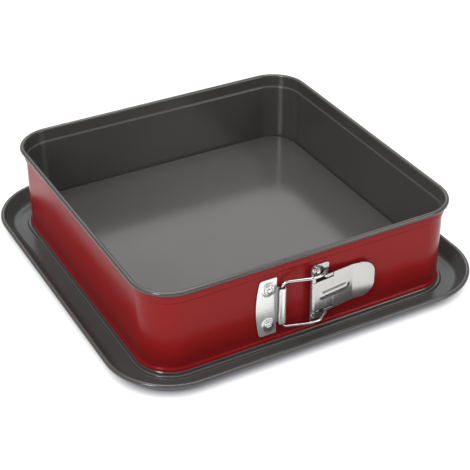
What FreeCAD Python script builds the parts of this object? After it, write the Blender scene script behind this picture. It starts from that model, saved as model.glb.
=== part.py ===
import FreeCAD, Part
import math
import os

# Square springform pan: a drip tray base, a two-sided ring that opens at a seam in its front wall,
# and an over-centre latch with a wire bail. Millimetres. The origin is the centre of the tray's
# underside, +Z is up, the latch is on the -Y side and +X is to its right.

V = FreeCAD.Vector
Z_AXIS = V(0, 0, 1)

# ---------------------------------------------------------------- driving dimensions
# Ring
ring_inside = 238.4          # clear width between the flat walls
ring_sheet = 0.7
corner_inside_r = 24.2       # inside corner radius of the wall
ring_height = 67.6           # foot to top of the rolled rim
rim_roll_d = 3.6             # outside diameter of the rolled rim
rim_roll_turn = 300.0        # degrees that the sheet is rolled through
collar_drop = 10.4           # top of the rim down to the middle of the collar's step
collar_step = 1.1            # how far the collar stands outside the wall
collar_step_rise = 1.2       # height taken by the step
foot_bead_out = 0.9          # how far the bead at the foot stands out
foot_bead_height = 2.8
foot_bead_rise = 1.5         # height of the slope from bead to wall
step_bend_r = 0.8

# Tray
tray_border = 24.1           # ring's wall to the outside of the tray's rolled rim
tray_height = 11.7           # table to top of the rolled rim
tray_sheet = 0.8
tray_roll_d = 3.6
tray_roll_turn = 285.0
tray_wall_angle = 60.0       # slope of the outer wall, degrees from flat
tray_wall_bend_r = 5.0
seat_height = 2.6            # table to the top of the shoulder that the ring stands on
seat_margin = 3.8            # shoulder's side beyond the ring's wall
seat_bend_r = 1.1
floor_height = 14.3          # table to the baking floor
floor_bend_r = 1.8
floor_taper = 0.3            # how much narrower the raised floor is at its top
flat_floor_inset = 8.0       # flat centre plate ends this far inside the raised floor's edge

# Fits
ring_to_tray = 0.3           # ring's foot above its seat, and raised floor inside the wall
seam_gap = 0.3               # between the two ends of the ring
split_gap = 0.3              # between the two sides of the ring, behind the left wall
running = 0.05               # radial clearance of a pin or wire that turns in a sheet eye
side_play = 0.3              # end float of a knuckle between its neighbours
rivet_fit = 0.02             # radial clearance of a rivet's shank
core_fit = 0.05              # radial clearance of a rim wire in its roll

# Seam and its inner flap
seam_x = -23.3
flap_reach = 8.0             # each way from the seam
flap_gap = 0.3               # between the flap and the free end of the wall
flap_floor_gap = 1.2         # flap's lower edge above the baking floor
flap_collar_gap = 2.4        # flap's upper edge below the collar's step

# Latch
latch_rise = 0.15            # latch's centre line above the middle of the flat wall
latch_sheet = 0.9
hinge_x = -1.6
hinge_out = 4.6              # hinge axis in front of the ring's wall
hinge_pin_r = 1.1
pin_head_r = 1.7
pin_head_t = 0.8
bracket_shorter = 0.5        # each end of the bracket, inside the catch plate's ends
bracket_right = 14.6         # right edge, from the hinge axis
bracket_rise_angle = 135.0   # direction in which the bracket's sheet leaves the wall
bracket_bend_r = 1.0
bracket_roll_turn = 215.0
bracket_corner_r = 2.0
bracket_rivet_x = 6.0        # from the hinge axis
bracket_rivet_inset = 5.9    # from the bracket's upper and lower ends

lever_slope = 6.8            # closed lever's slope towards the wall, degrees
lever_shorter = 7.8          # each shoulder, inside the catch plate's ends
neck_inset = 3.4             # neck at the hinge, inside each shoulder
tab_inset = 1.0              # thumb tab, inside each shoulder
lever_roll_turn = 275.0
eye_reach = 11.0             # hinge axis to bail eyes, along the lever
eye_roll_turn = 255.0
slit_width = 1.2
slit_end = 16.0              # from the hinge axis, along the lever
crease_reach = 33.3          # hinge axis to the crease before the thumb tab
tab_length = 17.2
tab_bend = 12.5              # degrees that the tab turns away from the wall
tab_bend_r = 6.0
tab_corner_share = 0.74      # of half the tab's height
rib_start = 3.5              # embossed rib, from the hinge axis along the lever
rib_end = 30.5
rib_half_width = 3.3
rib_height = 1.2

bail_wire_r = 1.05
bail_shorter = 4.4           # wire's centre line over the hook, inside the catch plate's ends
bail_eye_gap = 0.9           # wire's side to the lever's shoulder, beside the eyes
bail_pin_bend_r = 1.4
bail_bow_out = 8.5           # how far the legs stand in front of the wall over the hinge
bail_bow_right = 4.4         # bow's ends, from the hinge axis
bail_bow_left = 3.4
bail_bow_bend_r = 5.0
bail_cross_x = -24.6         # wire's centre line in the hook
bail_corner_r = 4.2

hook_shorter = 8.6           # each end of the hook, inside the catch plate's ends
hook_space = 3.5             # clear space between the tongue and the lip
hook_bend_slack = 0.55       # wire to the inside of the hook's bend
wire_to_tongue = 0.4         # wire to the tongue that it lies on
lip_left = -28.0
catch_right = -28.0
catch_left = -43.9
catch_side_bow = 2.9         # how far the curved left edge bows out
catch_margin = 3.15          # catch plate's ends to the ends of the flat wall
catch_corner_r = 1.6
catch_rivet_x = -34.4
catch_rivet_inset = 7.8      # from the plate's upper and lower ends
boss_r = 6.1
boss_top_r = 4.6
boss_height = 0.9

shank_r = 1.6
rivet_head_r = 3.9
rivet_head_t = 1.8
rivet_rim_t = 0.5            # straight side under the domed head
bracket_head_r = 2.7
inner_head_r = 2.3
inner_head_t = 0.5

# ---------------------------------------------------------------- worked out from the above
corner_centre = ring_inside / 2 - corner_inside_r
wall_inner = ring_inside / 2
wall_outer = wall_inner + ring_sheet
foot_z = seat_height + ring_to_tray
rim_top = foot_z + ring_height
step_z = rim_top - collar_drop
flat_low = foot_z + foot_bead_height + foot_bead_rise
flat_high = step_z - collar_step_rise / 2
tray_width = 2 * (wall_outer + tray_border)
seam_low = floor_height + flap_floor_gap
seam_high = step_z - flap_collar_gap
latch_height = (flat_low + flat_high) / 2 + latch_rise
catch_half = (flat_high - flat_low) / 2 - catch_margin
catch_rivet_z = catch_half - catch_rivet_inset
hook_half = catch_half - hook_shorter
bracket_half = catch_half - bracket_shorter
bracket_rivet_z = bracket_half - bracket_rivet_inset
lever_half = catch_half - lever_shorter
neck_half = lever_half - neck_inset
lever_tab_half = lever_half - tab_inset
tab_corner_r = lever_tab_half * tab_corner_share
bail_half = catch_half - bail_shorter
bail_eye_half = lever_half + bail_eye_gap + bail_wire_r
bail_pin_half = neck_half + slit_width
roll_line_r = hinge_pin_r + running + latch_sheet / 2
eye_line_r = bail_wire_r + running + latch_sheet / 2


# ---------------------------------------------------------------- flat paths and sheet sections
def unit(angle):
    """Unit vector at an angle in degrees in the sketch plane."""
    return V(math.cos(math.radians(angle)), math.sin(math.radians(angle)), 0)


def heading(start, end):
    """Direction from one sketch point to another, in degrees."""
    return math.degrees(math.atan2(end.y - start.y, end.x - start.x))


def turn_between(first, second):
    """Signed turn from one heading to the next, within half a turn."""
    return (second - first + 180) % 360 - 180


def bent_path(points, bends, roll_r=0, roll_turn=0):
    """Straight runs joined by tangent arcs, then an optional roll. Bends belong to the inner points.

    Each run is ("line", start, end) and each arc ("arc", centre, radius, start angle, turn)."""
    points = [V(x, y, 0) for x, y in points]
    parts = []
    here = points[0]
    for before, corner, after, bend in zip(points, points[1:], points[2:], bends):
        first = heading(before, corner)
        turn = turn_between(first, heading(corner, after))
        reach = bend * abs(math.tan(math.radians(turn / 2)))
        start = corner - unit(first) * reach
        if (start - here).Length > 1e-6:
            parts.append(("line", here, start))
        side = math.copysign(90, turn)
        centre = start + unit(first + side) * bend
        parts.append(("arc", centre, bend, first - side, turn))
        here = centre + unit(first - side + turn) * bend
    last = heading(points[-2], points[-1])
    if (points[-1] - here).Length > 1e-6:
        parts.append(("line", here, points[-1]))
    if roll_turn:
        side = math.copysign(90, roll_turn)
        centre = points[-1] + unit(last + side) * roll_r
        parts.append(("arc", centre, roll_r, last - side, roll_turn))
    return parts


def offset_edges(parts, offset):
    """Edges that run beside the path, to its left for a positive offset, with their two ends."""
    edges = []
    ends = []
    for part in parts:
        if part[0] == "line":
            start, end = part[1], part[2]
            shift = unit(heading(start, end) + 90) * offset
            edges.append(Part.LineSegment(start + shift, end + shift).toShape())
            ends += [start + shift, end + shift]
        else:
            centre, radius, angle, turn = part[1:]
            radius = radius - math.copysign(offset, turn * offset)
            on_arc = [centre + unit(angle + turn * share) * radius for share in (0, 0.5, 1)]
            edges.append(Part.Arc(*on_arc).toShape())
            ends += [on_arc[0], on_arc[2]]
    return edges, ends[0], ends[-1]


def sheet_face(points, bends, thickness, roll_r=0, roll_turn=0):
    """Section of a bent sheet whose middle line follows the path."""
    parts = bent_path(points, bends, roll_r, roll_turn)
    left, left_start, left_end = offset_edges(parts, thickness / 2)
    right, right_start, right_end = offset_edges(parts, -thickness / 2)
    caps = [Part.LineSegment(left_end, right_end).toShape(),
            Part.LineSegment(left_start, right_start).toShape()]
    return Part.Face(Part.Wire(Part.__sortEdges__(left + right + caps)))


def rounded_outline(corners):
    """Face inside straight edges whose corners, given as (x, y, radius), are rounded."""
    count = len(corners)
    edges = []
    ends = []
    for index in range(count):
        before, corner, after = (V(*corners[(index + step) % count][:2], 0) for step in (-1, 0, 1))
        radius = corners[index][2]
        inward = (before - corner).normalize()
        outward = (after - corner).normalize()
        reach = radius / math.tan(inward.getAngle(outward) / 2)
        start = corner + inward * reach
        end = corner + outward * reach
        centre = corner + (inward + outward).normalize() * math.hypot(radius, reach)
        middle = centre + (corner - centre).normalize() * radius
        edges.append(Part.Arc(start, middle, end).toShape())
        ends.append((start, end))
    for index in range(count):
        edges.append(Part.LineSegment(ends[index][1], ends[(index + 1) % count][0]).toShape())
    return Part.Face(Part.Wire(Part.__sortEdges__(edges)))


def disc(centre, radius, normal):
    """Round face, for pins and wires."""
    return Part.Face(Part.Wire(Part.makeCircle(radius, centre, normal)))


def joined(solids):
    """One clean solid from pieces that meet face to face."""
    return solids[0].fuse(solids[1:]).removeSplitter()


# ---------------------------------------------------------------- rounded-square sweeps
FRONT, RIGHT, BACK, LEFT = 3, 0, 1, 2


def upright(face):
    """Stand a sketch face up, so that its second direction is +Z."""
    stood = face.copy()
    stood.rotate(V(0, 0, 0), V(1, 0, 0), 90)
    return stood


def wall_run(face, side, start=-corner_centre, end=corner_centre):
    """Sweep an upright section along one flat side. Start and end run anticlockwise seen from above."""
    run = face.copy()
    run.translate(V(corner_centre, start, 0))
    run = run.extrude(V(0, end - start, 0))
    run.rotate(V(0, 0, 0), Z_AXIS, 90 * side)
    return run


def corner_run(face, side):
    """Sweep an upright section round the corner that follows a side anticlockwise."""
    run = face.copy()
    run.translate(V(corner_centre, corner_centre, 0))
    run = run.revolve(V(corner_centre, corner_centre, 0), Z_AXIS, 90)
    run.rotate(V(0, 0, 0), Z_AXIS, 90 * side)
    return run


def fixed_side(face):
    """The ring from the seam round the right and the back to the start of the left wall."""
    return joined([wall_run(face, FRONT, seam_x + seam_gap / 2), corner_run(face, FRONT),
                   wall_run(face, RIGHT), corner_run(face, RIGHT),
                   wall_run(face, BACK), corner_run(face, BACK)])


def free_side(face):
    """The ring's left wall and the front wall up to the seam, which swing open."""
    return joined([wall_run(face, LEFT, start=split_gap - corner_centre), corner_run(face, LEFT),
                   wall_run(face, FRONT, end=seam_x - seam_gap / 2)])


def whole_loop(face):
    """All four sides."""
    return joined([run for side in range(4) for run in (wall_run(face, side), corner_run(face, side))])


# ---------------------------------------------------------------- ring
wall_line = wall_inner + ring_sheet / 2 - corner_centre
collar_line = wall_line + collar_step
foot_line = wall_line + foot_bead_out
rim_line_r = (rim_roll_d - ring_sheet) / 2
rim_axis_z = rim_top - rim_roll_d / 2


def ring_section():
    """Foot bead, wall, stepped collar and outward roll."""
    points = [(foot_line, foot_z), (foot_line, foot_z + foot_bead_height),
              (wall_line, flat_low), (wall_line, flat_high),
              (collar_line, step_z + collar_step_rise / 2), (collar_line, rim_axis_z)]
    return upright(sheet_face(points, [step_bend_r] * 4, ring_sheet, rim_line_r, -rim_roll_turn))


def rim_core(sides):
    """Steel wire inside the ring's rolled rim."""
    radius = rim_line_r - ring_sheet / 2 - core_fit
    return sides(disc(V(collar_line + rim_line_r, 0, rim_axis_z), radius, V(0, 1, 0)))


def seam_flap():
    """Inner strip on the fixed side that closes the seam behind the free end."""
    height = seam_high - seam_low
    strip = Part.makeBox(2 * flap_reach, ring_sheet, height,
                         V(seam_x - flap_reach, flap_gap - wall_inner, seam_low))
    joggle_start = seam_x + flap_reach / 2
    joggle = Part.makeBox(flap_reach / 2, flap_gap, height, V(joggle_start, -wall_inner, seam_low))
    return [strip, joggle]


# ---------------------------------------------------------------- tray
def tray_section():
    """From the raised floor out over its edge, the seat, the channel and the wall to the roll."""
    plate_line = floor_height - tray_sheet / 2
    seat_line = seat_height - tray_sheet / 2
    channel_line = tray_sheet / 2
    edge_low = wall_inner - ring_to_tray - tray_sheet / 2 - corner_centre
    edge_high = edge_low - floor_taper
    shoulder = wall_outer + seat_margin - tray_sheet / 2 - corner_centre
    roll_line_radius = (tray_roll_d - tray_sheet) / 2
    roll_centre = V(tray_width / 2 - tray_roll_d / 2 - corner_centre, tray_height - tray_roll_d / 2, 0)
    roll_start = roll_centre + unit(tray_wall_angle + 90) * roll_line_radius
    wall_foot = roll_start.x - (roll_start.y - channel_line) / math.tan(math.radians(tray_wall_angle))
    points = [(edge_low - flat_floor_inset, plate_line), (edge_high, plate_line),
              (edge_low, seat_line), (shoulder, seat_line), (shoulder, channel_line),
              (wall_foot, channel_line), (roll_start.x, roll_start.y)]
    shoulder_bend = (seat_line - channel_line) / 2
    bends = [floor_bend_r, seat_bend_r, shoulder_bend, shoulder_bend, tray_wall_bend_r]
    face = sheet_face(points, bends, tray_sheet, roll_line_radius, -tray_roll_turn)
    return upright(face), edge_low - flat_floor_inset, roll_centre


def base_tray():
    """Pressed tray: the swept section closed by a flat centre plate."""
    face, plate_radius, _ = tray_section()
    half = corner_centre + plate_radius
    corners = [(half, half), (-half, half), (-half, -half), (half, -half)]
    plate = rounded_outline([(x, y, plate_radius) for x, y in corners])
    plate.translate(V(0, 0, floor_height - tray_sheet))
    return joined([whole_loop(face), plate.extrude(V(0, 0, tray_sheet))])


def tray_core():
    """Steel wire inside the tray's rolled rim."""
    centre = tray_section()[2]
    radius = tray_roll_d / 2 - tray_sheet - core_fit
    return whole_loop(disc(V(centre.x, 0, centre.y), radius, V(0, 1, 0)))


# ---------------------------------------------------------------- latch sketch plane
# Latch sketches use x along the front wall and y outwards from it, and are raised by z up and down
# from the latch's centre line.
def on_wall(solid):
    """Turn a latch solid from its sketch frame to its place on the front wall."""
    placed = solid.copy()
    placed.rotate(V(0, 0, 0), V(1, 0, 0), 180)
    placed.translate(V(0, -wall_outer, latch_height))
    return placed


def raised(face, low, high):
    """Extrude a latch sketch from one height to another."""
    start = face.copy()
    start.translate(V(0, 0, low))
    return start.extrude(V(0, 0, high - low))


def outline_prism(corners, low, high):
    """Solid with a rounded outline seen from the front, between two distances from the wall."""
    face = rounded_outline(corners)
    face.rotate(V(0, 0, 0), V(1, 0, 0), 90)
    face.translate(V(0, low, 0))
    return face.extrude(V(0, high - low, 0))


def upright_pin(x, out, radius, low, high):
    """Round bar parallel to the hinge axis."""
    return Part.makeCylinder(radius, high - low, V(x, out, low), Z_AXIS)


def rivet(x, z, stack, head_r):
    """Domed outer head, shank through the sheets and a flat inner head."""
    rise = rivet_head_t - rivet_rim_t
    dome_r = (head_r ** 2 + rise ** 2) / (2 * rise)
    under = stack - ring_sheet
    top = under + rivet_head_t
    dome = Part.makeSphere(dome_r, V(0, 0, top - dome_r))
    head = Part.makeCylinder(head_r, rivet_head_t, V(0, 0, under)).common(dome)
    shank = Part.makeCylinder(shank_r, stack, V(0, 0, -ring_sheet))
    inner = Part.makeCylinder(inner_head_r, inner_head_t, V(0, 0, -ring_sheet - inner_head_t))
    solid = joined([head, shank, inner])
    solid.rotate(V(0, 0, 0), V(1, 0, 0), -90)
    solid.translate(V(x, 0, z))
    return solid


def rivet_hole(x, z):
    """Cutter for one shank, through the wall and whatever lies on it."""
    depth = 4 * rivet_head_t
    return Part.makeCylinder(shank_r + rivet_fit, 2 * depth, V(x, -depth, z), V(0, 1, 0))


# ---------------------------------------------------------------- latch pieces
catch_rivets = [(catch_rivet_x, side * catch_rivet_z) for side in (1, -1)]
bracket_rivets = [(hinge_x + bracket_rivet_x, side * bracket_rivet_z) for side in (1, -1)]
hinge = V(hinge_x, hinge_out, 0)
lever_out = unit(90 - lever_slope)
lever_along = unit(-lever_slope)
eye = hinge + lever_out * (roll_line_r - eye_line_r) + lever_along * eye_reach
wire_out = latch_sheet + wire_to_tongue + bail_wire_r


def catch_plate():
    """Riveted plate whose tongue is bent back to the left as an open hook."""
    bend = (hook_space + latch_sheet) / 2
    right = bail_cross_x + bail_wire_r + hook_bend_slack + latch_sheet / 2
    tongue_line = latch_sheet / 2
    lip_line = tongue_line + 2 * bend
    points = [(catch_right - latch_sheet, tongue_line), (right, tongue_line), (right, lip_line),
              (lip_left, lip_line)]
    hook = raised(sheet_face(points, [bend, bend], latch_sheet), -hook_half, hook_half)
    left_x = catch_left + catch_side_bow
    outline = [(left_x, -catch_half, catch_corner_r), (catch_right, -catch_half, catch_corner_r / 2),
               (catch_right, catch_half, catch_corner_r / 2), (left_x, catch_half, catch_corner_r)]
    plate = outline_prism(outline, 0, latch_sheet)
    bow_r = (catch_half ** 2 + catch_side_bow ** 2) / (2 * catch_side_bow)
    bow = Part.makeCylinder(bow_r, latch_sheet, V(catch_left + bow_r, 0, 0), V(0, 1, 0))
    slab = Part.makeBox(2 * catch_side_bow, latch_sheet, 2 * (catch_half - catch_corner_r),
                        V(catch_left, 0, catch_corner_r - catch_half))
    bosses = []
    for x, z in catch_rivets:
        boss = Part.makeCone(boss_r, boss_top_r, boss_height, V(x, latch_sheet, z), V(0, 1, 0))
        bosses.append(boss)
    solid = joined([plate, bow.common(slab), hook] + bosses)
    for x, z in catch_rivets:
        solid = solid.cut(rivet_hole(x, z))
    return solid


def lever_bracket():
    """Riveted plate whose left edge rises from the wall and is rolled into two hinge knuckles."""
    line = latch_sheet / 2
    right = hinge_x + bracket_right
    roll_start = hinge + unit(bracket_rise_angle + 90) * roll_line_r
    run = (roll_start.y - line) / math.tan(math.radians(bracket_rise_angle))
    foot_x = roll_start.x - run
    points = [(right, line), (foot_x, line), (roll_start.x, roll_start.y)]
    face = sheet_face(points, [bracket_bend_r], latch_sheet, roll_line_r, -bracket_roll_turn)
    knuckle_low = neck_half + side_play
    strips = [raised(face, knuckle_low, bracket_half), raised(face, -bracket_half, -knuckle_low)]
    middle = Part.makeBox(right - foot_x - bracket_bend_r, latch_sheet, 2 * knuckle_low,
                          V(foot_x + bracket_bend_r, 0, -knuckle_low))
    outline = [(hinge_x - 2 * bracket_right, -bracket_half, bracket_corner_r / 4),
               (right, -bracket_half, bracket_corner_r), (right, bracket_half, bracket_corner_r),
               (hinge_x - 2 * bracket_right, bracket_half, bracket_corner_r / 4)]
    solid = joined(strips + [middle]).common(outline_prism(outline, -1, 3 * hinge_out))
    for x, z in bracket_rivets:
        solid = solid.cut(rivet_hole(x, z))
    return solid


def hinge_pin():
    """Pin through the three knuckles, with a head at each end."""
    reach = bracket_half + pin_head_t
    bar = upright_pin(hinge_x, hinge_out, hinge_pin_r, -reach, reach)
    heads = [upright_pin(hinge_x, hinge_out, pin_head_r, low, low + pin_head_t)
             for low in (bracket_half + running, -reach - running)]
    return joined([bar] + heads)


def lever_point(along, out):
    """Sketch point at a distance along the lever and out from its sheet's middle line."""
    point = hinge + lever_out * (roll_line_r + out) + lever_along * along
    return point.x, point.y


def rib_body(radius, axis_out):
    """Bar with ball ends along the lever, used for the raised rib and its hollow underside."""
    start = V(*lever_point(rib_start + rib_half_width, axis_out), 0)
    end = V(*lever_point(rib_end - rib_half_width, axis_out), 0)
    bar = Part.makeCylinder(radius, (end - start).Length, start, end - start)
    return joined([bar, Part.makeSphere(radius, start), Part.makeSphere(radius, end)])


def lever():
    """Sheet lever: rolled knuckle on its neck, two rolled eyes, an embossed rib and a thumb tab."""
    crease = V(*lever_point(crease_reach, 0), 0)
    tip = crease + unit(tab_bend - lever_slope) * tab_length
    path = [(tip.x, tip.y), (crease.x, crease.y)]
    knuckle = sheet_face(path + [lever_point(0, 0)], [tab_bend_r], latch_sheet,
                         roll_line_r, lever_roll_turn)
    eyes = sheet_face(path + [lever_point(eye_reach, 0)], [tab_bend_r], latch_sheet,
                      eye_line_r, eye_roll_turn)
    body = sheet_face(path + [lever_point(slit_end, 0)], [tab_bend_r], latch_sheet)
    shoulder = neck_half + slit_width
    solid = joined([raised(knuckle, -neck_half, neck_half), raised(body, -lever_half, lever_half),
                    raised(eyes, shoulder, lever_half), raised(eyes, -lever_half, -shoulder)])
    far_left = hinge_x - eye_reach
    outline = [(far_left, -lever_half, slit_width), (crease.x - crease_reach / 2, -lever_half, 1),
               (tip.x, -lever_tab_half, tab_corner_r), (tip.x, lever_tab_half, tab_corner_r),
               (crease.x - crease_reach / 2, lever_half, 1), (far_left, lever_half, slit_width)]
    solid = solid.common(outline_prism(outline, -hinge_out, 4 * hinge_out))
    rib_r = (rib_half_width ** 2 + rib_height ** 2) / (2 * rib_height)
    axis_out = latch_sheet / 2 + rib_height - rib_r
    above = Part.makeBox(tab_length + crease_reach, 2 * rib_r, 4 * rib_half_width,
                         V(0, 0, -2 * rib_half_width))
    above.rotate(V(0, 0, 0), Z_AXIS, -lever_slope)
    above.translate(V(*lever_point(0, 0), 0))
    rib = rib_body(rib_r, axis_out).common(above)
    below = rib_body(rib_r - latch_sheet, axis_out)
    under = above.copy()
    under.translate(lever_out * (-2 * latch_sheet))
    return joined([solid, rib]).cut(below.common(under))


def round_bar(points, bends, radius):
    """Bent wire: cylinders joined by torus bends along straight runs in space."""
    points = [V(*point) for point in points]
    solids = []
    here = points[0]
    for before, corner, after, bend in zip(points, points[1:], points[2:], bends):
        first = (corner - before).normalize()
        second = (after - corner).normalize()
        turn = first.getAngle(second)
        start = corner - first * (bend * math.tan(turn / 2))
        axis = first.cross(second).normalize()
        centre = start + axis.cross(first) * bend
        solids.append(disc(here, radius, first).extrude(start - here))
        solids.append(disc(start, radius, first).revolve(centre, axis, math.degrees(turn)))
        here = corner + second * (bend * math.tan(turn / 2))
    last = points[-1] - here
    solids.append(disc(here, radius, last).extrude(last))
    return joined(solids)


def wire_bail():
    """Wire loop: ends turned into the lever's eyes, legs bowed over the hinge, cross wire in the hook."""
    half = [(eye.x, eye.y, bail_pin_half), (eye.x, eye.y, bail_eye_half),
            (hinge_x + bail_bow_right, bail_bow_out, bail_half),
            (hinge_x - bail_bow_left, bail_bow_out, bail_half), (bail_cross_x, wire_out, bail_half)]
    other = [(x, out, -z) for x, out, z in reversed(half)]
    bends = [bail_pin_bend_r, bail_bow_bend_r, bail_bow_bend_r, bail_corner_r]
    return round_bar(half + other, bends + list(reversed(bends)), bail_wire_r)


# ---------------------------------------------------------------- build and write
def with_rivet_holes(side, rivets):
    """Ring side with its rivet holes cut."""
    for x, z in rivets:
        side = side.cut(on_wall(rivet_hole(x, z)))
    return side


def rivet_pair(prefix, rivets, stack, head_r):
    """The upper and lower rivet of one plate."""
    solids = [on_wall(rivet(x, z, stack, head_r)) for x, z in rivets]
    solids.sort(key=lambda solid: -solid.BoundBox.ZMax)
    return {prefix + "_upper": solids[0], prefix + "_lower": solids[1]}


section = ring_section()
nodes = {
    "base_tray": base_tray(),
    "tray_rim_wire": tray_core(),
    "ring_fixed_side": with_rivet_holes(joined([fixed_side(section)] + seam_flap()), bracket_rivets),
    "ring_free_side": with_rivet_holes(free_side(section), catch_rivets),
    "rim_wire_fixed_side": rim_core(fixed_side),
    "rim_wire_free_side": rim_core(free_side),
    "catch_plate": on_wall(catch_plate()),
    "lever_bracket": on_wall(lever_bracket()),
    "hinge_pin": on_wall(hinge_pin()),
    "lever": on_wall(lever()),
    "wire_bail": on_wall(wire_bail()),
}
nodes.update(rivet_pair("catch_rivet", catch_rivets, ring_sheet + latch_sheet + boss_height, rivet_head_r))
nodes.update(rivet_pair("bracket_rivet", bracket_rivets, ring_sheet + latch_sheet, bracket_head_r))

os.makedirs("parts", exist_ok=True)
for name, shape in nodes.items():
    if not shape.isValid() or len(shape.Solids) != 1:
        raise ValueError("%s is not one sound solid (%d)" % (name, len(shape.Solids)))
    shape.exportStep("parts/%s.step" % name)
    box = shape.BoundBox
    print("%-22s volume %9.1f  x %7.2f %7.2f  y %7.2f %7.2f  z %6.2f %6.2f" % (
        name, shape.Volume, box.XMin, box.XMax, box.YMin, box.YMax, box.ZMin, box.ZMax))
print("eye at x %.3f, out %.3f; cross wire at x %.3f, out %.3f" % (eye.x, eye.y, bail_cross_x, wire_out))
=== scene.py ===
# %% [markdown]
# # A square springform pan
# The pan is a springy sheet ring, red outside and grey inside, that stands on a coated drip tray.
# A bright steel latch on the front wall pulls the two ends of the ring together. The exact sizes
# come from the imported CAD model, which is loaded first and stays where it is. Every visible piece
# is then worked out as a surface with numpy, from the same section lines as the sheet parts, so
# that bends, rolled rims and pressed ribs can be smooth and each face can have its own finish.

# %% Load the fixed frame
import math

import bpy
import numpy as np
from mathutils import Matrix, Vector


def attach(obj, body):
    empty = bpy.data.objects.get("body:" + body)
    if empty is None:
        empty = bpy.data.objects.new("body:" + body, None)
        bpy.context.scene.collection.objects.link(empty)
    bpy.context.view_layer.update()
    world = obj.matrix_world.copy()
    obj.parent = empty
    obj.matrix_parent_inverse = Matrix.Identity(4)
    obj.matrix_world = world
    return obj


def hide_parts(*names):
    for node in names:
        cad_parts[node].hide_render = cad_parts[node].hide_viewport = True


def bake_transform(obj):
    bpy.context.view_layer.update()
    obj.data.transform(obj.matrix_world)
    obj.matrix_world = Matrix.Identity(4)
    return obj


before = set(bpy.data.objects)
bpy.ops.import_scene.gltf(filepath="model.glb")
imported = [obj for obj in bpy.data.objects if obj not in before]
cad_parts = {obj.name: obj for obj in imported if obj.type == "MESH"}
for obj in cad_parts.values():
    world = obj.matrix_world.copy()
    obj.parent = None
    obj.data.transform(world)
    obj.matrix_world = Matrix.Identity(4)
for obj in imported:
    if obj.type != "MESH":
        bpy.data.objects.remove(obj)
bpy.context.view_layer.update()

MM = 0.001

# %% [markdown]
# ## Bent lines
# A sheet part is one line, drawn in section, with a thickness. The line has straight runs joined
# by tangent arcs, and may end in a roll. It could be drawn as a curve object with a bevel, but
# then each bend's radius would be hard to state. Here the line is sampled as plain arrays, with a
# left-hand normal at each sample, and a short distance from every bend gets a sample of its own,
# so that smooth shading stays inside the bend and the long runs stay flat.

# %% Bent line helper
SUPPORT = 0.25          # mm from a bend to the sample that keeps the run beside it flat
ARC_STEP = 9.0          # degrees between samples in a bend
CAP_POINTS = 5          # samples round the cut edge of a sheet


def unit(angle):
    """Unit vector at an angle in degrees."""
    return np.array([math.cos(math.radians(angle)), math.sin(math.radians(angle))])


def straight(start, end, spacing=None):
    """Points on a run: its ends, a support point near each, and more if a spacing is given."""
    length = np.linalg.norm(end - start)
    if spacing:
        share = np.linspace(0, 1, max(2, int(round(length / spacing)) + 1))
    elif length > 3 * SUPPORT:
        share = np.array([0, SUPPORT / length, 1 - SUPPORT / length, 1])
    else:
        share = np.array([0.0, 1.0])
    way = (end - start) / length
    points = start + share[:, None] * (end - start)
    normals = np.repeat([[-way[1], way[0]]], len(share), axis=0)
    return points, normals


def arc(centre, radius, first, turn, step=ARC_STEP):
    """Points on an arc: centre + radius times the unit vector of each angle from first to first + turn."""
    count = max(3, int(math.ceil(abs(turn) / step)) + 1)
    angles = np.radians(first + np.linspace(0, turn, count))
    spokes = np.stack([np.cos(angles), np.sin(angles)], axis=1)
    return centre + radius * spokes, -math.copysign(1, turn) * spokes


def bent_line(points, bends, roll_r=0.0, roll_turn=0.0, spacing=None, step=ARC_STEP):
    """Samples and left normals of straight runs joined by tangent arcs, then an optional roll."""
    points = [np.array(p, float) for p in points]
    pieces = []
    here = points[0]
    for before, corner, after, bend in zip(points, points[1:], points[2:], bends):
        first = math.degrees(math.atan2(*(corner - before)[::-1]))
        second = math.degrees(math.atan2(*(after - corner)[::-1]))
        turn = (second - first + 180) % 360 - 180
        reach = bend * abs(math.tan(math.radians(turn / 2)))
        start = corner - unit(first) * reach
        side = math.copysign(90, turn)
        if np.linalg.norm(start - here) > 1e-4:
            pieces.append(straight(here, start, spacing))
        centre = start + unit(first + side) * bend
        pieces.append(arc(centre, bend, first - side, turn, step))
        here = centre + unit(first - side + turn) * bend
    last = math.degrees(math.atan2(*(points[-1] - points[-2])[::-1]))
    if np.linalg.norm(points[-1] - here) > 1e-4:
        pieces.append(straight(here, points[-1], spacing))
    if roll_turn:
        side = math.copysign(90, roll_turn)
        centre = points[-1] + unit(last + side) * roll_r
        pieces.append(arc(centre, roll_r, last - side, roll_turn, step))
    line = np.concatenate([p for p, _ in pieces])
    normals = np.concatenate([n for _, n in pieces])
    keep = np.concatenate([[True], np.linalg.norm(np.diff(line, axis=0), axis=1) > 1e-5])
    return line[keep], normals[keep]


def sheet_outline(line, normals, thickness, cap=CAP_POINTS):
    """Closed outline of a sheet's section: the left face, a round end, the right face and back.

    Returns the points and, for each, 1 on the left face and 0 on the right face."""
    half = thickness / 2
    left = line + normals * half
    right = (line - normals * half)[::-1]

    def round_end(centre, normal, way):
        angles = np.linspace(0, math.pi, cap + 2)[1:-1]
        return centre + half * (np.cos(angles)[:, None] * normal + np.sin(angles)[:, None] * way)

    def along(a, b):
        return (b - a) / np.linalg.norm(b - a)

    far = round_end(line[-1], normals[-1], along(line[-2], line[-1]))
    near = round_end(line[0], -normals[0], along(line[1], line[0]))
    points = np.concatenate([left, far, right, near])
    side = np.concatenate([np.ones(len(left)), np.full(cap, 0.5), np.zeros(len(right)), np.full(cap, 0.5)])
    return points, side

# %% [markdown]
# ## From arrays to a mesh
# A surface is a grid of points with two parameters. The grid may be closed either way round, and
# an open end may be closed by one flat face. The signed volume tells whether its faces point
# outwards. If it is negative, every face is turned round.

# %% Mesh helper


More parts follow.
